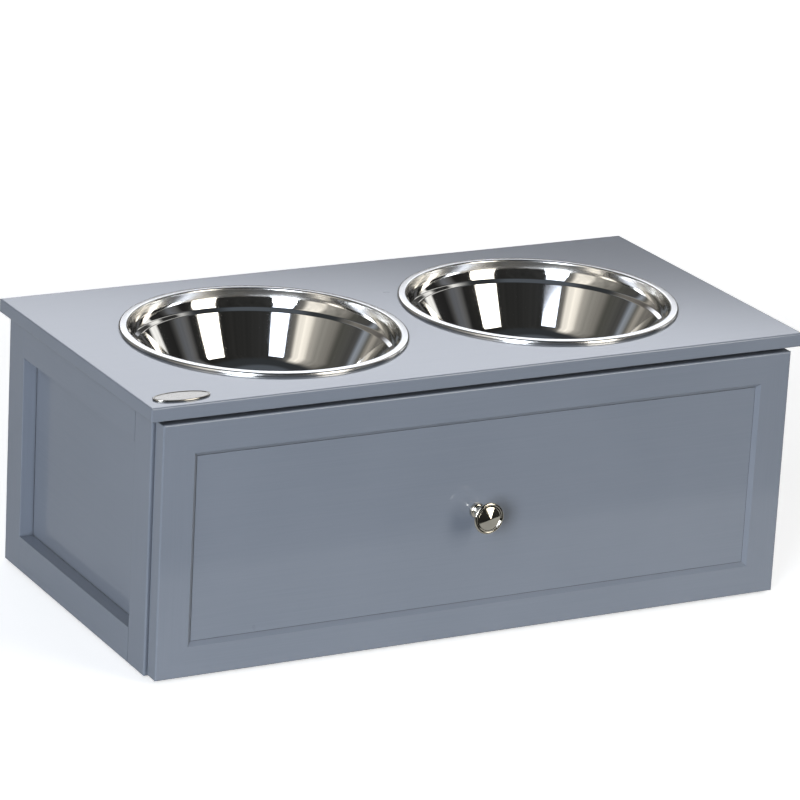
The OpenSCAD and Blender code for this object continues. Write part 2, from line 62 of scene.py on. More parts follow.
# %% Camera
CAMERA_PLACE = Vector((-1.6446, -2.9793, 1.2962))
CAMERA_AIM = Vector((-0.0085, -0.008, 0.165))
CAMERA_LEAN = 3.09
LENS = 192.5
SENSOR_W = 36


def linked(name, data):
    """A new object round some data, linked to the scene."""
    made = bpy.data.objects.new(name, data)
    bpy.context.scene.collection.objects.link(made)
    return made


def aimed(place, point, roll):
    """The rotation that points -Z from a place to a point, turned about that line by degrees."""
    look = (Vector(point) - Vector(place)).to_track_quat("-Z", "Y").to_matrix()
    return look @ Matrix.Rotation(math.radians(roll), 3, "Z")


camera = linked("catalogue_camera", bpy.data.cameras.new("catalogue_camera"))
camera.data.lens = LENS
camera.data.sensor_width = SENSOR_W
camera_turn = aimed(CAMERA_PLACE, CAMERA_AIM, CAMERA_LEAN)
camera.matrix_world = Matrix.Translation(CAMERA_PLACE) @ camera_turn.to_4x4()
bpy.context.scene.camera = camera
bpy.context.scene.view_settings.view_transform = "Standard"
print("camera is", round((CAMERA_AIM - CAMERA_PLACE).length, 2), "m away")

# %% [markdown]
# Finishes, repeated parts and the room are all node trees here. Such a tree could be put together by
# hand in an editor, but a script keeps every number in sight. One function adds any node and fills or
# links its inputs, and three more add the sums, the ranges and the colour mixes that come up most.

# %% Helpers for node trees
def wired(tree, kind, inputs=None, **settings):
    """Adds a node to a tree, sets its properties, and fills or links its inputs."""
    made = tree.nodes.new(kind)
    for key, value in settings.items():
        setattr(made, key, value)
    for key, value in (inputs or {}).items():
        if isinstance(value, bpy.types.NodeSocket):
            tree.links.new(value, made.inputs[key])
        else:
            made.inputs[key].default_value = value
    return made


def math_node(tree, operation, first, second=0.0):
    return wired(tree, "ShaderNodeMath", {0: first, 1: second}, operation=operation).outputs[0]


def remapped(tree, value, start, end, low=0.0, high=1.0, course="LINEAR"):
    """Turns the range from start to end into the range from low to high, and stops at its ends."""
    values = {"Value": value, "From Min": start, "From Max": end, "To Min": low, "To Max": high}
    return wired(tree, "ShaderNodeMapRange", values, interpolation_type=course).outputs["Result"]


def blend(tree, factor, first, second):
    """The mix of two colours."""
    values = {0: factor, 6: first, 7: second}
    return wired(tree, "ShaderNodeMix", values, data_type="RGBA").outputs[2]


def tint(red, green, blue):
    return (red, green, blue, 1.0)


print("helpers for node trees are ready")

# %% [markdown]
# Most finishes start the same way: object coordinates, stretched along one direction, feed a noise,
# and the noise moves the colour, the roughness or a bump a little. Painted image textures would need
# unwrapped pieces, and a procedural finish needs none. Object coordinates are in metres and stay
# fixed to the piece. A small class keeps each finish down to a few lines.

# %% A finish
class Finish:
    """A node material with a Principled shader, and short ways to add nodes to it."""

    def __init__(self, name, **values):
        self.material = bpy.data.materials.new(name)
        self.material.use_nodes = True
        self.tree = self.material.node_tree
        self.shader = self.tree.nodes["Principled BSDF"]
        self.place = self.add("ShaderNodeTexCoord").outputs["Object"]
        for socket, value in values.items():
            self.shader.inputs[socket.replace("_", " ")].default_value = value

    def add(self, kind, inputs=None, **settings):
        return wired(self.tree, kind, inputs, **settings)

    def stretched(self, scale, move=(0, 0, 0)):
        values = {"Vector": self.place, "Scale": scale, "Location": move}
        return self.add("ShaderNodeMapping", values).outputs[0]

    def noise(self, vector, scale, detail=3.0, rough=0.5):
        values = {"Vector": vector, "Scale": scale, "Detail": detail, "Roughness": rough}
        return self.add("ShaderNodeTexNoise", values).outputs["Fac"]

    def between(self, value, low, high, start=0.3, end=0.7):
        return remapped(self.tree, value, start, end, low, high)

    def mix(self, factor, first, second):
        return blend(self.tree, factor, first, second)

    def calc(self, operation, first, second=0.0):
        return math_node(self.tree, operation, first, second)

    def bump(self, height, strength, distance, under=None):
        values = {"Height": height, "Strength": strength, "Distance": distance}
        if under is not None:
            values["Normal"] = under
        return self.add("ShaderNodeBump", values).outputs["Normal"]

    def use(self, socket, value):
        self.tree.links.new(value, self.shader.inputs[socket])


print("a finish can be made")

# %% [markdown]
# The boards are fibreboard under a sprayed semi-gloss paint, a cool blue-grey. Close by, such paint
# is not flat: the colour drifts by a few per cent, a faint grain runs along each board where it was
# brushed or sanded before its last coat, and the film has a fine orange-peel skin. A single glossy
# colour would look like plastic. A thin clear coat carries the sharp part of the gloss. In narrow
# gaps and inner corners the colour is painted darker, towards a dark grey within a few millimetres:
# this is painted shade, which deepens the shadow that the lamps leave there. One function makes the
# paint for boards that run along X, Y or Z.

# %% Painted boards
PAINT_DARK = tint(0.192, 0.216, 0.258)
PAINT_LIGHT = tint(0.208, 0.232, 0.276)
PAINT_WORN = tint(0.225, 0.248, 0.292)
# The dark grey of the painted shade in gaps and inner corners
PAINTED_SHADE_COLOR = tint(0.03, 0.034, 0.042)
PAINT_ROUGHNESS = 0.30
CREVICE = 5 * MM
GRAIN_PITCH = 900
GRAIN_RUN = 14
# Roughness of the clear coat, size of the orange peel and its strength
TOP_SKIN = (0.06, 0.7 * MM, 0.04)
BOARD_SKIN = (0.10, 1.8 * MM, 0.12)


def painted(name, run, coat_roughness, peel_size, peel_strength):
    """Paint on boards that run along one axis: 0, 1 or 2 for X, Y or Z."""
    paint = Finish(name, IOR=1.5, Specular_IOR_Level=0.15, Coat_Weight=1.0,
                   Coat_Roughness=coat_roughness)
    drift = paint.noise(paint.place, 7.0, 4.0)
    along = [GRAIN_RUN if axis == run else GRAIN_PITCH for axis in range(3)]
    grain = paint.noise(paint.stretched(along), 1.0, 2.0)
    peel = paint.noise(paint.place, 1.0 / peel_size, 2.0)
    tone = paint.mix(paint.between(drift, 0.0, 1.0), PAINT_DARK, PAINT_LIGHT)
    lined = paint.mix(paint.between(grain, 0.0, 0.35), tone, PAINT_WORN)
    # Ambient occlusion pulls the colour towards dark grey in gaps and corners: painted shade
    nearby = {"Distance": CREVICE}
    open_air = paint.add("ShaderNodeAmbientOcclusion", nearby, samples=8).outputs["AO"]
    painted_shade = paint.between(open_air, 0.85, 0.0, 0.1, 0.75)
    paint.use("Base Color", paint.mix(painted_shade, lined, PAINTED_SHADE_COLOR))
    paint.use("Roughness", paint.between(drift, PAINT_ROUGHNESS - 0.03, PAINT_ROUGHNESS + 0.04))
    skin = paint.bump(peel, peel_strength, 0.05 * MM)
    paint.use("Normal", paint.bump(grain, 0.03, 0.05 * MM, skin))
    paint.use("Coat Normal", skin)
    return paint.material


paint_top = painted("paint_on_top", 0, *TOP_SKIN)
paint_x = painted("paint_along_x", 0, *BOARD_SKIN)
paint_y = painted("paint_along_y", 1, *BOARD_SKIN)
paint_z = painted("paint_along_z", 2, *BOARD_SKIN)
print("paints made:", [paint.name for paint in (paint_top, paint_x, paint_y, paint_z)])

# %% [markdown]
# The bowls are pressed from stainless sheet and polished on a spindle. The polish is close to a
# mirror, but the buffing wheel leaves fine rings round the bowl's axis. An anisotropic shader could
# smear the highlights that way, but it needs tangents that an exported model may lose. The rings
# depend only on the distance from the axis and the height, so the finish works those two out and
# puts a very fine noise on them. The wheel hardly reaches the rolled rim and the top of the band, so
# the metal is less sharp there.

# %% Polished steel for a bowl
STEEL_COLOR = tint(0.72, 0.71, 0.69)
BAND_ROUGHNESS = 0.15
BAND_FADES = (6.0 * MM, 3.5 * MM)


def polished_steel(name, centre_x, centre_y, board_top):
    """Steel with rings round an upright axis, and a duller band round the board's top."""
    steel = Finish(name, Metallic=1.0, Base_Color=STEEL_COLOR)
    centred = steel.stretched((1, 1, 1), (-centre_x, -centre_y, 0))
    parts = steel.add("ShaderNodeSeparateXYZ", {"Vector": centred}).outputs
    flat = steel.add("ShaderNodeCombineXYZ", {"X": parts["X"], "Y": parts["Y"]}).outputs[0]
    radius = steel.add("ShaderNodeVectorMath", {0: flat}, operation="LENGTH").outputs["Value"]
    ring_place = steel.add("ShaderNodeCombineXYZ", {"X": radius, "Y": parts["Z"]}).outputs[0]
    rings = steel.noise(ring_place, 1800.0, 2.0)
    drift = steel.noise(centred, 30.0, 3.0)
    polish = steel.between(drift, 0.03, 0.07)
    fade_start, fade_end = (board_top - depth for depth in BAND_FADES)
    band = steel.between(parts["Z"], 0.0, BAND_ROUGHNESS, fade_start, fade_end)
    steel.use("Roughness", steel.calc("ADD", polish, band))
    steel.use("Normal", steel.bump(rings, 0.06, 0.02 * MM))
    return steel.material


print("the steel gets duller within", round(BAND_FADES[0] / MM, 1), "mm of the board's top")

# %% [markdown]
# The small metal parts. The knob is nickel plated, warmer than steel and very bright, and the badge
# plate has the same plating with a satin face. Slides, screws and rivets are zinc plated, duller and
# slightly mottled by the crystals of the plating. All three could be separate recipes, but they only
# differ in colour, in gloss and in the size of the mottling, so one function makes them.

# %% Nickel and zinc
def plated(name, color, low, high, scale, strength):
    """Plating whose roughness runs from low to high in a mottle of some scale."""
    metal = Finish(name, Metallic=1.0)
    mottle = metal.noise(metal.place, scale, 3.0)
    darker = tint(*[0.82 * c for c in color[:3]])
    metal.use("Base Color", metal.mix(metal.between(mottle, 0.0, 1.0), darker, color))
    metal.use("Roughness", metal.between(mottle, low, high))
    crystals = metal.noise(metal.place, 2500.0, 2.0)
    metal.use("Normal", metal.bump(crystals, strength, 0.02 * MM))
    return metal.material


nickel = plated("bright_nickel", tint(0.80, 0.75, 0.64), 0.05, 0.09, 60.0, 0.05)
badge_nickel = plated("satin_nickel", tint(0.44, 0.42, 0.38), 0.16, 0.24, 300.0, 0.30)
zinc = plated("zinc_plate", tint(0.58, 0.59, 0.60), 0.28, 0.46, 420.0, 0.25)
print("platings made:", [metal.name for metal in (nickel, badge_nickel, zinc)])

# %% [markdown]
# The hidden timber. Beech blocks and dowels show long fine grain with short dark flecks. The drawer's
# thin base is lacquered hardboard with a fine mottle. A wood photograph would tile and blur close by,
# and two layers of noise stay sharp, so each wood is a slow noise with a fast one over it.

# %% Beech and hardboard
def beech_wood():
    wood = Finish("bare_beech", Roughness=0.62)
    grain = wood.noise(wood.stretched((500, 60, 500)), 1.0, 4.0, 0.6)
    flecks = wood.noise(wood.stretched((1500, 260, 1500)), 1.0, 1.0)
    pale, warm, dark = tint(0.50, 0.33, 0.19), tint(0.66, 0.47, 0.30), tint(0.30, 0.18, 0.10)
    tone = wood.mix(wood.between(grain, 0.0, 1.0), pale, warm)
    wood.use("Base Color", wood.mix(wood.between(flecks, 0.0, 0.35, 0.58, 0.68), tone, dark))
    wood.use("Normal", wood.bump(grain, 0.3, 0.1 * MM))
    return wood.material


def hardboard():
    board = Finish("lacquered_hardboard", Roughness=0.5)
    felt = board.noise(board.place, 900.0, 5.0, 0.65)
    cloud = board.noise(board.place, 14.0, 3.0)
    dim, clear, fibre = tint(0.36, 0.38, 0.42), tint(0.42, 0.44, 0.48), tint(0.24, 0.26, 0.30)
    tone = board.mix(board.between(cloud, 0.0, 1.0), dim, clear)
    board.use("Base Color", board.mix(board.between(felt, 0.0, 0.3), tone, fibre))
    board.use("Normal", board.bump(felt, 0.25, 0.08 * MM))
    return board.material


beech = beech_wood()
base_board = hardboard()
print("timber finishes made:", beech.name, "and", base_board.name)

# %% [markdown]
# The moulded parts. The rollers are white nylon, which light enters a little, and slightly uneven
# from the mould. The foot pads are dull rubber with fine pores. Plain colours would do from far away,
# but a faint cloud in the roughness is what tells a moulding from a painted part.

# %% Nylon and rubber
def nylon_moulding():
    nylon = Finish("white_nylon", Subsurface_Weight=0.15, Subsurface_Scale=1.5 * MM)
    cloud = nylon.noise(nylon.place, 240.0, 3.0)
    cream, white = tint(0.76, 0.75, 0.70), tint(0.84, 0.83, 0.80)
    nylon.use("Base Color", nylon.mix(nylon.between(cloud, 0.0, 1.0), cream, white))
    nylon.use("Roughness", nylon.between(cloud, 0.36, 0.50))
    nylon.use("Normal", nylon.bump(cloud, 0.15, 0.05 * MM))
    return nylon.material


def pad_rubber():
    rubber = Finish("foot_rubber")
    pores = rubber.noise(rubber.place, 1500.0, 4.0, 0.6)
    black, dusty = tint(0.025, 0.025, 0.027), tint(0.05, 0.05, 0.052)
    rubber.use("Base Color", rubber.mix(rubber.between(pores, 0.0, 1.0), black, dusty))
    rubber.use("Roughness", rubber.between(pores, 0.65, 0.85))
    rubber.use("Normal", rubber.bump(pores, 0.4, 0.1 * MM))
    return rubber.material


nylon = nylon_moulding()
rubber = pad_rubber()
print("moulded finishes made:", nylon.name, "and", rubber.name)

# %% [markdown]
# Every board keeps the shape that the frame gives it, and only takes a finish. One paint for all
# would run its grain along X on every board, across the stiles. So boards are sorted by the
# direction that they run in, and the grain follows each one.

# %% Finishes on the frame's own pieces
RUNS_X = ["front_top_rail", "back_top_rail", "front_bottom_rail", "back_bottom_rail", "back_panel",
          "drawer_front_top_rail", "drawer_front_bottom_rail", "drawer_front_panel",
          "drawer_inner_front", "drawer_back"]
RUNS_Y = [side + part for side in ("left_", "right_")
          for part in ("top_rail", "bottom_rail", "side_panel")]
RUNS_Y += ["drawer_left_side", "drawer_right_side"]
RUNS_Z = [side + part for side in ("left_", "right_") for part in ("front_stile", "back_stile")]
RUNS_Z += ["drawer_front_left_stile", "drawer_front_right_stile"]
ZINC = ["left_cabinet_slide", "right_cabinet_slide", "left_drawer_slide", "right_drawer_slide",
        "cabinet_roller_rivets", "drawer_roller_rivets", "knob_screw"]
BEECH = ["corner_blocks", "frame_dowels", "rail_dowels"]
FINISHES = [(["top_board"], paint_top), (RUNS_X, paint_x), (RUNS_Y, paint_y), (RUNS_Z, paint_z),
            (ZINC, zinc), (BEECH, beech), (["drawer_bottom"], base_board)]

for names, material in FINISHES:
    for name in names:
        nodes[name].data.materials.clear()
        nodes[name].data.materials.append(material)
    print(material.name, "on", len(names), "pieces")

# %% [markdown]
# Sprayed fibreboard never has a knife edge: it is sanded before the paint, and the small round
# catches the light as a thin bright line. A Bevel modifier on each board would open a notch at every
# joint. Boards that are glued into one frame are eased together, and only along the outside of that
# frame, so that the joints between them stay closed. An edge is outside when it lies on two faces of
# the box round the whole frame.

# %% Eased edges
SIDE_FRAME = ("front_stile", "back_stile", "top_rail", "bottom_rail")
DRAWER_FRAME = ("top_rail", "bottom_rail", "left_stile", "right_stile")
# Body, width of the round in mm, and the boards that are eased together
EASED = [("cabinet", 0.8, ["top_board"]),
         ("cabinet", 0.6, ["left_" + part for part in SIDE_FRAME]),
         ("cabinet", 0.6, ["right_" + part for part in SIDE_FRAME]),
         ("drawer", 0.8, ["drawer_front_" + part for part in DRAWER_FRAME])]


def span(points):
    """The lowest and the highest corner of the box round some points."""
    return tuple(Vector([pick(point[axis] for point in points) for axis in range(3)])
                 for pick in (min, max))


def on_faces(point, low, high):
    """The axes on which a point lies on the box from low to high."""
    return {axis for axis in range(3)
            if min(abs(point[axis] - low[axis]), abs(point[axis] - high[axis])) < 2e-5}


def piece_from(shape, name, material):
    """Turns an edited shape into an object with one material."""
    mesh = bpy.data.meshes.new(name)
    shape.to_mesh(mesh)
    shape.free()
    mesh.materials.append(material)
    return linked(name, mesh)


def merged(name):
    """A copy of a frame piece, with its loose triangles joined at their corners."""
    shape = bmesh.new()
    shape.from_mesh(nodes[name].data)
    bmesh.ops.remove_doubles(shape, verts=shape.verts, dist=1e-6)
    return shape


def eased(name, low, high, width):
    shape = merged(name)
    flat = math.radians(1)
    bmesh.ops.dissolve_limit(shape, angle_limit=flat, verts=shape.verts, edges=shape.edges)
    outer = []
    for edge in shape.edges:
        shared = on_faces(edge.verts[0].co, low, high) & on_faces(edge.verts[1].co, low, high)
        if len(shared) > 1 and edge.calc_face_angle(0) > math.radians(60):
            outer.append(edge)
    for face in shape.faces:
        face.smooth = False
    rounded = bmesh.ops.bevel(shape, geom=outer, offset=width * MM, segments=3, profile=0.5,
                              affect="EDGES")
    for face in rounded["faces"]:
        face.smooth = True
    return piece_from(shape, name + "_eased", nodes[name].data.materials[0]), len(outer)


for body, width, names in EASED:
    low, high = span([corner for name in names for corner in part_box(name)])
    for name in names:
        board, count = eased(name, low, high, width)
        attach(board, body)
        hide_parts(name)
        print(board.name, "has", count, "eased edges")

# %% [markdown]
# Turned and pressed parts are round, and a lathe makes them: a half section is turned about an axis.
# A Screw modifier does the same, but then the section is an object that has to be kept until the
# modifier is applied. The frame carries these parts too, in flat facets that would break up a mirror
# polish. So each one is turned again here from the same sizes with many more steps, and smooth
# shading between them.

# %% A small lathe
SHARP_FROM = 40


def arc(center, radius, start, end, steps):
    """Points on an arc, from one angle to another in degrees."""
    points = []
    for k in range(steps + 1):
        angle = math.radians(start + (end - start) * k / steps)
        points.append((center[0] + radius * math.cos(angle), center[1] + radius * math.sin(angle)))
    return points


def ring_of(shape, center, across, deep, steps):
    """New points round an ellipse, which lies flat at its centre."""
    ring = []
    for k in range(steps):
        angle = 2 * math.pi * k / steps
        place = (center[0] + across * math.cos(angle), center[1] + deep * math.sin(angle), center[2])
        ring.append(shape.verts.new(place))
    return ring


def turned(name, section, material, steps, place, sharp_from=SHARP_FROM):
    """A closed half section of (radius, height) in mm, turned about Z, then moved by a matrix."""
    shape = bmesh.new()
    rings = []
    for radius, height in section:
        if radius < 1e-6:
            rings.append([shape.verts.new((0, 0, height * MM))])
        else:
            rings.append(ring_of(shape, (0, 0, height * MM), radius * MM, radius * MM, steps))
    for near, far in zip(rings, rings[1:] + rings[:1]):
        if len(near) == 1 and len(far) == 1:
            continue
        for k in range(steps):
            corners = [near[k % len(near)], near[(k + 1) % len(near)],
                       far[(k + 1) % len(far)], far[k % len(far)]]
            shape.faces.new(list(dict.fromkeys(corners)))
    bmesh.ops.recalc_face_normals(shape, faces=shape.faces)
    for face in shape.faces:
        face.smooth = True
    for edge in shape.edges:
        edge.smooth = (len(edge.link_faces) < 2
                       or edge.calc_face_angle() < math.radians(sharp_from))
    made = piece_from(shape, name, material)
    made.data.transform(place)
    print(name, "has", len(made.data.polygons), "faces")
    return made


# %% [markdown]
# A bowl, from its middle outwards: a flat floor, a wide curve up into a cone, a sloping ledge where
# the press drew the upper band, the band itself, which curves in below the rim, and the rim rolled
# over to the board. A profile could be traced point by point, but arcs that run into each other have
# no kinks, and kinks show at once in a mirror. The section follows the inside, and its outside is
# the same line moved by the sheet's thickness, so the wall is even everywhere, as pressed sheet is.

# %% The section of a bowl
# Sizes in mm, leans in degrees, heights from the top of the board
RIM_R = 119.5
RIM_W = 7.5
RIM_H = 3.0
RIM_END = 0.25
WALL_R = RIM_R - RIM_W
SHEET = 0.9
BOWL_DEPTH = 66.0
FLOOR_R = 76.0
FOOT_R = 36.0
BAND_R = 28.0
BAND_LEAN = 27
BEAD_R = 2.5
LEDGE_LEAN = 55
LEDGE_W = 3.0
LIP_R = 1.7
CURL_R = 1.7
CURL_DROP = 0.25


def step_from(point, radius, angle, sign=1):
    turn = math.radians(angle)
    return (point[0] + sign * radius * math.cos(turn), point[1] + sign * radius * math.sin(turn))


def bowl_inside():
    band = (WALL_R - BAND_R, 0.0)
    cove = step_from(step_from(band, BAND_R, -BAND_LEAN), BEAD_R, -BAND_LEAN, -1)
    ledge_top = step_from(cove, BEAD_R, -LEDGE_LEAN)
    ledge_low = step_from(ledge_top, LEDGE_W, 90 - LEDGE_LEAN, -1)
    bead = step_from(ledge_low, BEAD_R, 180 - LEDGE_LEAN, -1)
    lean = math.degrees(math.atan2(ledge_low[0] - FLOOR_R, BOWL_DEPTH + ledge_low[1]))
    foot_x = FLOOR_R - FOOT_R * math.tan(math.radians((90 - lean) / 2))
    return ([(0.0, -BOWL_DEPTH)]
            + arc((foot_x, FOOT_R - BOWL_DEPTH), FOOT_R, -90, -lean, 24)
            + arc(bead, BEAD_R, 180 - lean, 180 - LEDGE_LEAN, 8)
            + arc(cove, BEAD_R, -LEDGE_LEAN, -BAND_LEAN, 8)
            + arc(band, BAND_R, -BAND_LEAN, 0, 16)[1:]
            + arc((WALL_R + LIP_R, RIM_H - LIP_R), LIP_R, 180, 90, 12)
            + arc((RIM_R - CURL_R, RIM_H - CURL_DROP - CURL_R), CURL_R, 90, 0, 12)
            + [(RIM_R, RIM_END)])


def moved_out(path, amount):
    """The same line, moved to the right of its own direction."""
    moved = []
    for k, point in enumerate(path):
        ahead = path[min(k + 1, len(path) - 1)]
        behind = path[max(k - 1, 0)]
        run = Vector((ahead[0] - behind[0], ahead[1] - behind[1])).normalized()
        moved.append((max(point[0] + run.y * amount, 0.0), point[1] - run.x * amount))
    moved[0] = (0.0, path[0][1] - amount)
    return moved


inside = bowl_inside()
bowl_section = inside + moved_out(inside, SHEET)[::-1]
print("a bowl's section has", len(bowl_section), "points")

# %% [markdown]
# The two bowls are the same pressing, so one section is turned twice. A copy of the first bowl would
# share its steel, and the polishing rings would then run round the wrong axis. So each bowl has a
# steel of its own, centred on its own middle.

# %% Bowls
BOWL_STEPS = 256
board_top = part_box("top_board")[1].z
for side in ("left", "right"):
    low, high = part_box(side + "_bowl")
    middle = (low + high) / 2
    steel = polished_steel(side + "_bowl_steel", middle.x, middle.y, board_top)
    place = Matrix.Translation((middle.x, middle.y, board_top))
    bowl = turned(side + "_steel_bowl", bowl_section, steel, BOWL_STEPS, place)
    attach(bowl, side + "_bowl")
    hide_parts(side + "_bowl")

# %% [markdown]
# The knob is turned brass under the nickel: a small foot against the panel, a waisted stem, and a
# disc with a rounded flange, a shallow groove, and a low cone as its face. The cone has to be a real
# cone, because it shows one sharp wedge of light, and a dome would show a round spot. Its axis points
# out of the drawer, so the lathe's Z is turned to -Y.

# %% Knob
KNOB_LEN = 24.0
KNOB_R = 13.5
KNOB_FOOT_R = 6.4
KNOB_STEPS = 160
FLANGE_R = 1.3
FACE_R = KNOB_R - 3.75
FACE_H = 2.14
STEM = [(4.3, 4.2), (4.05, 5.6), (3.9, 7.0), (3.95, 9.0), (4.3, 11.0), (4.95, 13.0), (6.0, 15.0),
        (8.0, 17.4)]
GROOVE = [(KNOB_R - 3.2, KNOB_LEN - 2.3), (KNOB_R - 3.45, KNOB_LEN - 1.85)]
FACE_SHARES = (1.0, 0.98, 0.9, 0.5, 0.1, 0.02)
knob_section = (
    [(0.0, 0.0), (KNOB_FOOT_R, 0.0)]
    + arc((KNOB_FOOT_R - 1.6, 1.8), 1.6, 0, 80, 10)
    + STEM
    + arc((KNOB_R - FLANGE_R, KNOB_LEN - 3.2), FLANGE_R, -60, 90, 20)
    + arc((KNOB_R - FLANGE_R - 0.4, KNOB_LEN - 2.6), 0.7, 80, 160, 4)
    + GROOVE
    + [(share * FACE_R, KNOB_LEN - share * FACE_H) for share in FACE_SHARES]
    + [(0.0, KNOB_LEN - FACE_SHARES[-1] * FACE_H)])
low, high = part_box("knob")
knob_foot = Matrix.Translation(((low.x + high.x) / 2, high.y, (low.z + high.z) / 2))
knob_place = knob_foot @ Matrix.Rotation(math.radians(90), 4, "X")
knob = turned("nickel_knob", knob_section, nickel, KNOB_STEPS, knob_place, 25)
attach(knob, "drawer")
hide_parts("knob")

# %% [markdown]
# The rollers are moulded nylon: a flat tread with eased corners, and a dish between tread and hub so
# that the wall stays even in the mould. They are all alike and could be copies, but each one turns on
# its own rivet, so each is a piece of its own. The dish faces the open side of its slide.

# %% Rollers
ROLLER_R = 8.7
ROLLER_W = 8.0
ROLLER_STEPS = 96
BORE_R = 2.6
EASE = 0.8
DISH = 1.2
roller_section = (
    [(BORE_R, 0.0)]
    + arc((ROLLER_R - EASE, EASE), EASE, -90, 0, 5)
    + arc((ROLLER_R - EASE, ROLLER_W - EASE), EASE, 0, 90, 5)
    + [(ROLLER_R - 2.2, ROLLER_W), (ROLLER_R - 2.6, ROLLER_W - DISH),
       (BORE_R + 1.6, ROLLER_W - DISH), (BORE_R + 1.4, ROLLER_W), (BORE_R, ROLLER_W)])
for name, faces_right in (("left_front_roller", True), ("right_front_roller", False),
                          ("left_rear_roller", False), ("right_rear_roller", True)):
    low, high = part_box(name)
    middle = (low + high) / 2
    start = Matrix.Translation((low.x if faces_right else high.x, middle.y, middle.z))
    turn = Matrix.Rotation(math.radians(90 if faces_right else -90), 4, "Y")
    roller = turned(name + "_nylon", roller_section, nylon, ROLLER_STEPS, start @ turn)
    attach(roller, name)
    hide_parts(name)

# %% [markdown]
# The badge plate is a plain oval stamping, glued on near the corner of the board, with a raised
# border. It is left bare here. A squashed cylinder would have hard rims. Its outline is an ellipse,
# drawn several times at its heights from the board up and joined from ring to ring, which gives the
# rounded shoulder that catches the light.

# %% Badge plate
BADGE_STEPS = 96


def oval_plate(name, center, long, short, levels, material):
    """Rings of an ellipse: each level is (how far the outline is drawn in, height), in mm."""
    shape = bmesh.new()
    rings = []
    for inset, height in levels:
        ring_center = (center.x, center.y, center.z + height * MM)
        across, deep = (long / 2 - inset) * MM, (short / 2 - inset) * MM
        rings.append(ring_of(shape, ring_center, across, deep, BADGE_STEPS))
    for near, far in zip(rings, rings[1:]):
        for k in range(BADGE_STEPS):
            after = (k + 1) % BADGE_STEPS
            shape.faces.new((near[k], near[after], far[after], far[k]))
    shape.faces.new(rings[0][::-1])
    shape.faces.new(rings[-1])
    bmesh.ops.recalc_face_normals(shape, faces=shape.faces)
    for face in shape.faces:
        face.smooth = len(face.verts) == 4
    return piece_from(shape, name, material)


low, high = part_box("badge_plate")
size = (high - low) / MM
badge_levels = [(0.25, 0.0), (0.05, 0.25), (0.0, 0.5), (0.05, size.z - 0.35),
                (0.25, size.z - 0.1), (0.55, size.z), (1.1, size.z), (1.35, size.z - 0.1),
                (1.55, size.z - 0.35), (1.9, size.z - 0.42)]
badge_center = Vector(((low.x + high.x) / 2, (low.y + high.y) / 2, low.z))
badge = oval_plate("nickel_badge", badge_center, size.x, size.y, badge_levels, badge_nickel)
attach(badge, "cabinet")
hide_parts("badge_plate")
print("the badge is", round(size.x, 1), "by", round(size.y, 1), "mm")

# %% [markdown]
# Screws repeat more than anything else here, and they sit where the frame has them. Their places
# could be typed in again as a list, but then a moved screw would be missed. Each loose shell of a
# screw node is one screw: its long side is its axis, and its wide end is its head.

# %% Find the screws in the frame
def shells(name):
    """The loose shells of a frame piece, each as a list of its points."""
    shape = merged(name)
    found = []
    waiting = set(shape.verts)
    while waiting:
        group = [waiting.pop()]
        for vert in group:
            for edge in vert.link_edges:
                other = edge.other_vert(vert)
                if other in waiting:
                    waiting.remove(other)
                    group.append(other)
        found.append([vert.co.copy() for vert in group])
    shape.free()
    return sorted(found, key=lambda points: tuple(round(c, 4) for c in points[0]))


def screw_frame(points):
    """Head's middle, direction to the tip, length and head radius of one shell."""
    low, high = span(points)
    size = high - low
    axis = max(range(3), key=lambda a: size[a])
    middle = (low + high) / 2
    across = [a for a in range(3) if a != axis]

    def reach(level):
        near = [p for p in points if abs(p[axis] - level) < 1e-5]
        return max(math.hypot(*(p[a] - middle[a] for a in across)) for p in near)

    head_low = reach(low[axis]) > reach(high[axis])
    head = middle.copy()
    head[axis] = low[axis] if head_low else high[axis]
    aim = Vector((0, 0, 0))
    aim[axis] = 1 if head_low else -1
    return head, aim, size[axis], max(reach(low[axis]), reach(high[axis]))


print("back screws found:", len(shells("back_screws")))

# %% [markdown]
# One Geometry Nodes tree makes a countersunk screw with a cross recess from named sizes, and stands
# a copy of it at each point, turned to the point's own direction. An array could not do that, since
# the screws face several ways. The tree stacks a cone for the head, a straight shank and a tip, cuts a
# cross into the head, and makes the copies real at its end, so that they leave as a plain mesh.

# %% The screw tree
TIP_LEN = 2.0
TIP_R = 0.2 * MM
# Length, width and depth of the cross recess, as shares of the head's radius
CROSS = (1.15, 0.26, 0.8)
SHANK_R = 1.6 * MM
SCREW_INPUTS = (("Length", 12 * MM), ("Head radius", 3.4 * MM), ("Shank radius", SHANK_R))


def cone(tree, vertices, bottom, top, depth):
    values = {"Vertices": vertices, "Radius Top": top, "Radius Bottom": bottom, "Depth": depth}
    return wired(tree, "GeometryNodeMeshCone", values).outputs[0]


def lifted(tree, mesh, height):
    """Moves a mesh up along Z by a height that may come from another node."""
    offset = wired(tree, "ShaderNodeCombineXYZ", {"Z": height}).outputs[0]
    values = {"Geometry": mesh, "Translation": offset}
    return wired(tree, "GeometryNodeTransform", values).outputs[0]


def crossed(tree, head, head_r):
    """Cuts two crossed bars out of a head."""
    long, thin, deep = (math_node(tree, "MULTIPLY", head_r, share) for share in CROSS)
    cut = wired(tree, "GeometryNodeMeshBoolean", {"Mesh 1": head}, operation="DIFFERENCE",
                solver="EXACT")
    for first, second in ((long, thin), (thin, long)):
        bar = {"X": first, "Y": second, "Z": deep}
        size = wired(tree, "ShaderNodeCombineXYZ", bar).outputs[0]
        arm = wired(tree, "GeometryNodeMeshCube", {"Size": size}).outputs[0]
        tree.links.new(arm, cut.inputs["Mesh 2"])
    return cut.outputs["Mesh"]


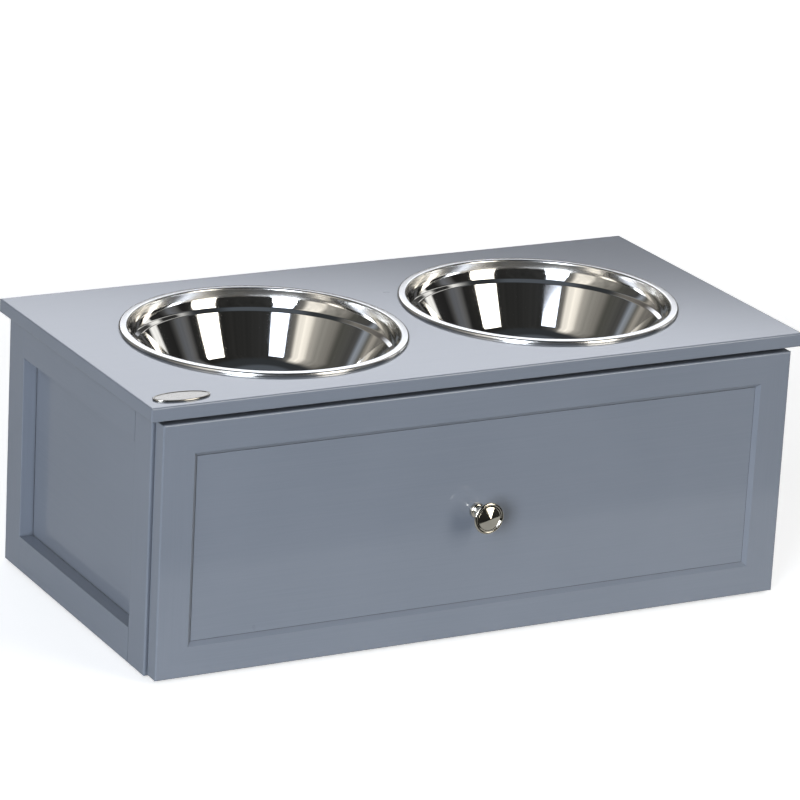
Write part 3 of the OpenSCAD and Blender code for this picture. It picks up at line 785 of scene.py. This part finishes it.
def screw_tree(material):
    tree = bpy.data.node_groups.new("countersunk_screws", "GeometryNodeTree")
    ends = tree.interface
    ends.new_socket("Points", in_out="INPUT", socket_type="NodeSocketGeometry")
    for label, value in SCREW_INPUTS:
        ends.new_socket(label, in_out="INPUT", socket_type="NodeSocketFloat").default_value = value
    ends.new_socket("Screws", in_out="OUTPUT", socket_type="NodeSocketGeometry")
    given = tree.nodes.new("NodeGroupInput").outputs
    head_r, shank_r = given["Head radius"], given["Shank radius"]
    head_h = math_node(tree, "SUBTRACT", head_r, shank_r)
    tip_h = math_node(tree, "MULTIPLY", shank_r, TIP_LEN)
    tip_z = math_node(tree, "SUBTRACT", given["Length"], tip_h)
    shank_h = math_node(tree, "SUBTRACT", tip_z, head_h)
    head = crossed(tree, cone(tree, 32, head_r, shank_r, head_h), head_r)
    shank = cone(tree, 24, shank_r, shank_r, shank_h)
    tip = cone(tree, 24, shank_r, TIP_R, tip_h)
    whole = wired(tree, "GeometryNodeJoinGeometry")
    for part in (lifted(tree, tip, tip_z), lifted(tree, shank, head_h), head):
        tree.links.new(part, whole.inputs[0])
    aim = wired(tree, "GeometryNodeInputNamedAttribute", {"Name": "aim"},
                data_type="FLOAT_VECTOR").outputs["Attribute"]
    turn = wired(tree, "FunctionNodeAlignRotationToVector", {"Vector": aim}, axis="Z").outputs[0]
    copies = {"Points": given["Points"], "Instance": whole.outputs[0], "Rotation": turn}
    placed = wired(tree, "GeometryNodeInstanceOnPoints", copies).outputs[0]
    real = wired(tree, "GeometryNodeRealizeInstances", {"Geometry": placed}).outputs[0]
    coat = {"Geometry": real, "Material": material}
    coated = wired(tree, "GeometryNodeSetMaterial", coat).outputs[0]
    tree.links.new(coated, tree.nodes.new("NodeGroupOutput").inputs[0])
    return tree


screws = screw_tree(zinc)
print("the screw tree has", len(screws.nodes), "nodes")

# %% [markdown]
# Each screw node of the frame becomes a cloud of points that carry the direction from head to tip. A
# modifier runs the tree on the cloud with that node's own length and head, and the result is kept as
# a plain mesh. The modifier could stay live, but a plain mesh looks the same wherever it is opened.

# %% Screws
SCREW_NODES = {"corner_screws": "cabinet", "back_screws": "cabinet",
               "cabinet_slide_screws": "cabinet", "drawer_slide_screws": "drawer",
               "drawer_front_screws": "drawer", "drawer_box_screws": "drawer"}


def points_with_aim(name, frames):
    mesh = bpy.data.meshes.new(name)
    mesh.from_pydata([tuple(found[0]) for found in frames], [], [])
    aim = mesh.attributes.new("aim", "FLOAT_VECTOR", "POINT")
    for k, found in enumerate(frames):
        aim.data[k].vector = found[1]
    return linked(name, mesh)


def grown(source, tree, values, name):
    """Runs a tree on an object with named input values, and keeps the result as a plain mesh."""
    modifier = source.modifiers.new("grow", "NODES")
    modifier.node_group = tree
    for item in tree.interface.items_tree:
        if item.in_out == "INPUT" and item.name in values:
            modifier[item.identifier] = values[item.name]
    evaluated = source.evaluated_get(bpy.context.evaluated_depsgraph_get())
    mesh = bpy.data.meshes.new_from_object(evaluated)
    mesh.name = name
    bpy.data.objects.remove(source)
    mesh.shade_smooth()
    mesh.set_sharp_from_angle(angle=math.radians(SHARP_FROM))
    print(name, "has", len(mesh.polygons), "faces")
    return linked(name, mesh)


for node, body in SCREW_NODES.items():
    frames = [screw_frame(points) for points in shells(node)]
    sizes = {"Length": frames[0][2], "Head radius": frames[0][3], "Shank radius": SHANK_R}
    made = grown(points_with_aim(node + "_points", frames), screws, sizes, node + "_zinc")
    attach(made, body)
    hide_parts(node)

# %% [markdown]
# The stick-on foot pads are small rubber domes with a flat underside to stand on. They could be
# flattened spheres, but the lathe is at hand and gives them the same outline as the frame's pads. The
# frame holds all four in one node, so the four shells are found again and each gets its own pad.

# %% Foot pads
PAD_EDGE = 0.8
PAD_STEPS = 64
for number, points in enumerate(shells("foot_pads")):
    low, high = span(points)
    radius = (high.x - low.x) / 2 / MM
    height = (high.z - low.z) / MM
    section = ([(0.0, height), (radius, height)]
               + arc((radius - PAD_EDGE, PAD_EDGE), PAD_EDGE, 0, -90, 6)
               + [(0.0, 0.0)])
    place = Matrix.Translation(((low.x + high.x) / 2, (low.y + high.y) / 2, low.z))
    pad = turned("foot_pad_%d" % (number + 1), section, rubber, PAD_STEPS, place)
    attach(pad, "cabinet")
    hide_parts("foot_pads")

# %% [markdown]
# The studio floor. A catalogue picture stands on white paper, and more light on the paper would also
# burn out the feeder. So the paper glows by itself, and only for the camera, a little under the
# feeder and fully further out, and it keeps the feeder's soft shadow. Everything else, such as the
# mirror-bright steel, sees a pale table that ends a short way before the drawer, and a dark floor
# beyond it. The floor that the cabinet shuts in does not glow, or it would shine out of the opening
# over a drawer that is pulled out.

# %% Floor
FLOOR_SIZE = 12.0
PAPER = tint(0.84, 0.84, 0.84)
GLOW_NEAR = 0.58
GLOW_FAR = 1.0
GLOW_GROWS = (0.7, 2.0)
TABLE_EDGE = -0.362
TABLE_COLOR = tint(0.66, 0.66, 0.65)
TABLE_BEYOND = tint(0.03, 0.03, 0.03)
# Half width, middle depth and half depth of the floor that the cabinet shuts in
SHUT_IN = (0.280, 0.0165, 0.1295)
SHUT_IN_FADE = 0.002


def open_floor(paper, parts):
    """0 on the floor that the cabinet shuts in, and 1 outside it."""
    half_w, middle, half_d = SHUT_IN
    across = paper.calc("ABSOLUTE", parts["X"])
    along = paper.calc("ABSOLUTE", paper.calc("SUBTRACT", parts["Y"], middle))
    past_side = paper.between(across, 0.0, 1.0, half_w, half_w + SHUT_IN_FADE)
    past_end = paper.between(along, 0.0, 1.0, half_d, half_d + SHUT_IN_FADE)
    return paper.calc("MAXIMUM", past_side, past_end)


def floor_paper():
    paper = Finish("white_paper", Base_Color=PAPER)
    fibres = paper.noise(paper.place, 40.0, 4.0)
    paper.use("Roughness", paper.between(fibres, 0.85, 0.95))
    parts = paper.add("ShaderNodeSeparateXYZ", {"Vector": paper.place}).outputs
    away = paper.add("ShaderNodeVectorMath", {0: paper.place}, operation="LENGTH")
    strength = paper.between(away.outputs["Value"], GLOW_NEAR, GLOW_FAR, *GLOW_GROWS)
    strength = paper.calc("MULTIPLY", strength, open_floor(paper, parts))
    glow = paper.add("ShaderNodeEmission", {"Color": tint(1, 1, 1), "Strength": strength})
    on_table = paper.between(parts["Y"], 0.0, 1.0, TABLE_EDGE - 0.01, TABLE_EDGE + 0.01)
    table_color = paper.mix(on_table, TABLE_BEYOND, TABLE_COLOR)
    table = paper.add("ShaderNodeBsdfDiffuse", {"Color": table_color}).outputs[0]
    both = {0: paper.shader.outputs[0], 1: glow.outputs[0]}
    seen = paper.add("ShaderNodeAddShader", both).outputs[0]
    rays = paper.add("ShaderNodeLightPath").outputs
    gate = paper.add("ShaderNodeMixShader", {0: rays["Is Camera Ray"], 1: table, 2: seen})
    end = paper.tree.nodes["Material Output"].inputs["Surface"]
    paper.tree.links.new(gate.outputs[0], end)
    return paper.material


floor_mesh = bpy.data.meshes.new("studio_floor")
half = FLOOR_SIZE / 2
corners = [(-half, -half, 0), (half, -half, 0), (half, half, 0), (-half, half, 0)]
floor_mesh.from_pydata(corners, [], [(0, 1, 2, 3)])
floor_mesh.materials.append(floor_paper())
floor = linked("studio_floor", floor_mesh)
print("the floor is", FLOOR_SIZE, "m wide")

# %% [markdown]
# Polished steel shows what stands round it, so the room matters as much as the lamps: a ring of
# walls, dark towards the camera, with pale boards here and there, and above them a dim ceiling.
# Behind the feeder hangs the white backdrop, from about 17 degrees up, and the sheen on the top
# board is its reflection. Walls could be built as meshes, but then they would also stand in the
# camera's way when it walks round. So the room is painted on the world, by compass angle and height.

# %% The room's colours
# Compass angle in degrees from +X towards +Y, and the wall's colour there
WALLS = [(-180, (0.34, 0.33, 0.30)), (-172, (0.46, 0.44, 0.40)), (-168, (1.20, 1.14, 1.03)),
         (-155, (1.15, 1.10, 1.00)), (-151, (0.26, 0.25, 0.23)), (-145, (0.10, 0.10, 0.10)),
         (-125, (0.035, 0.036, 0.036)), (-68, (0.024, 0.024, 0.023)), (-38, (0.02, 0.02, 0.02)),
         (-34, (0.12, 0.12, 0.12)), (-25, (0.17, 0.18, 0.20)), (-20, (0.08, 0.08, 0.08)),
         (-14, (0.02, 0.02, 0.02)), (-1, (0.03, 0.03, 0.03)), (1, (1.20, 1.20, 1.18)),
         (9, (1.10, 1.10, 1.08)), (11, (0.03, 0.03, 0.03)), (19, (0.03, 0.03, 0.03)),
         (21, (1.10, 1.10, 1.08)), (25, (1.10, 1.10, 1.08)), (27, (0.06, 0.06, 0.06)),
         (100, (0.16, 0.15, 0.14)), (117, (0.22, 0.21, 0.19)), (123, (0.48, 0.45, 0.40)),
         (128, (0.14, 0.14, 0.13)), (135, (0.36, 0.40, 0.46)), (140, (0.08, 0.08, 0.08)),
         (160, (0.09, 0.09, 0.08)), (167, (0.24, 0.23, 0.21)), (180, (0.34, 0.33, 0.30))]
WALL_STREAKS = (0.8, 1.2)
BACKDROP_LIGHT = 2.0
BACKDROP_COLOR = (0.96, 1.0, 1.09)
BACKDROP_FROM = 16.9
# Compass angles over which the backdrop comes in at its right and goes out at its left
BACKDROP_RIGHT = (34, 46)
BACKDROP_LEFT = (98, 86)
# Heights are sines of the angle over the horizon, from 0 at eye level to 1 overhead
BACKDROP_TOP = (0.80, 0.55)
SHADE = (0.74, 0.86)
SHADE_COLOR = tint(0.04, 0.045, 0.05)
CEILING = (0.93, 0.975)
CEILING_COLOR = tint(0.10, 0.115, 0.135)
print("the walls have", len(WALLS), "colours")

# %% [markdown]
# The world's shader is asked for a colour in every direction. On a world, Generated coordinates are
# that direction. Its compass angle runs a colour ramp for the walls, a stretched noise breaks them
# up into soft streaks, and its height brings in the backdrop, the shade over the walls and the
# ceiling. A photographed environment could do all this, but no single stripe could be moved in it.
# The camera itself sees plain white in every direction.

# %% The room
def eased_in(tree, value, ends):
    """0 before the first end, 1 past the second, and a smooth course between them."""
    return remapped(tree, value, ends[0], ends[1], course="SMOOTHSTEP")


def wall_colors(tree, compass, height):
    turn = remapped(tree, compass, -math.pi, math.pi)
    walls = wired(tree, "ShaderNodeValToRGB", {"Fac": turn})
    stops = walls.color_ramp.elements
    while len(stops) < len(WALLS):
        stops.new(0.5)
    for stop, (angle, color) in zip(stops, WALLS):
        stop.position = (angle + 180) / 360
        stop.color = tint(*color)
    place = {"X": math_node(tree, "MULTIPLY", compass, 9.0),
             "Y": math_node(tree, "MULTIPLY", height, 3.0)}
    streaked = wired(tree, "ShaderNodeCombineXYZ", place).outputs[0]
    values = {"Vector": streaked, "Scale": 1.0, "Detail": 3.0}
    streaks = wired(tree, "ShaderNodeTexNoise", values).outputs["Fac"]
    strength = remapped(tree, streaks, 0.3, 0.7, *WALL_STREAKS)
    scaled = {0: walls.outputs["Color"], "Scale": strength}
    return wired(tree, "ShaderNodeVectorMath", scaled, operation="SCALE").outputs[0]


def backdrop_share(tree, compass, height):
    """1 on the backdrop, 0 off it."""
    low = math.sin(math.radians(BACKDROP_FROM))
    share = eased_in(tree, height, (low - 0.008, low + 0.008))
    share = math_node(tree, "MULTIPLY", share, eased_in(tree, height, BACKDROP_TOP))
    for side in (BACKDROP_RIGHT, BACKDROP_LEFT):
        ends = [math.radians(angle) for angle in side]
        share = math_node(tree, "MULTIPLY", share, eased_in(tree, compass, ends))
    return share


world = bpy.data.worlds.new("studio_room")
bpy.context.scene.world = world
world.use_nodes = True
tree = world.node_tree
tree.nodes.clear()
direction = wired(tree, "ShaderNodeTexCoord").outputs["Generated"]
parts = wired(tree, "ShaderNodeSeparateXYZ", {0: direction}).outputs
height = parts["Z"]
compass = math_node(tree, "ARCTAN2", parts["Y"], parts["X"])
backdrop = tint(*[BACKDROP_LIGHT * part for part in BACKDROP_COLOR])
room = wall_colors(tree, compass, height)
room = blend(tree, eased_in(tree, height, SHADE), room, SHADE_COLOR)
room = blend(tree, backdrop_share(tree, compass, height), room, backdrop)
room = blend(tree, eased_in(tree, height, CEILING), room, CEILING_COLOR)
around = wired(tree, "ShaderNodeBackground", {"Color": room}).outputs[0]
white = wired(tree, "ShaderNodeBackground", {"Color": tint(1, 1, 1)}).outputs[0]
rays = wired(tree, "ShaderNodeLightPath").outputs
sky = wired(tree, "ShaderNodeMixShader", {0: rays["Is Camera Ray"], 1: around, 2: white}).outputs[0]
tree.links.new(sky, wired(tree, "ShaderNodeOutputWorld").inputs["Surface"])
print("the room has", len(tree.nodes), "nodes")

# %% [markdown]
# Tall strip lamps stand left and right of the camera. They light the front and the left side, and
# make the white stripes in the bowls and the wedge of light on the knob. Spot lamps would leave only
# dots in polished steel, and an area lamp shows there with its own shape. The left strip is in two
# parts: the lower one gives most of the light, and the dimmer, cooler one over it only lengthens the
# stripe.

# %% Lamps
LEFT_POWER = 94
LEFT_HIGH_POWER = 28
RIGHT_POWER = 27.5
LEFT_COLOR = (0.93, 1.0, 1.09)
HIGH_COLOR = (0.88, 0.97, 1.15)
RIGHT_COLOR = (1.04, 1.0, 0.92)
# Distance from the feeder, degrees from +X, height, width, tall side, power, colour and roll
STRIPS = {"left_strip": (3.6, -135.3, 0.88, 1.3, 1.6, LEFT_POWER, LEFT_COLOR, 0),
          "left_strip_high": (3.6, -135.5, 2.81, 1.2, 2.26, LEFT_HIGH_POWER, HIGH_COLOR, 0),
          "right_strip": (2.2, -61.5, 1.21, 0.915, 2.18, RIGHT_POWER, RIGHT_COLOR, -10)}

for name, (distance, azimuth, height, width, tall, power, color, roll) in STRIPS.items():
    lamp = linked(name, bpy.data.lights.new(name, "AREA"))
    lamp.data.shape = "RECTANGLE"
    lamp.data.size = width
    lamp.data.size_y = tall
    lamp.data.energy = power
    lamp.data.color = color
    angle = math.radians(azimuth)
    lamp.location = (distance * math.cos(angle), distance * math.sin(angle), height)
    lamp.rotation_euler = aimed(lamp.location, (0, 0, height), roll).to_euler()
    lamp.visible_camera = False
print("lamps:", len(bpy.data.lights))
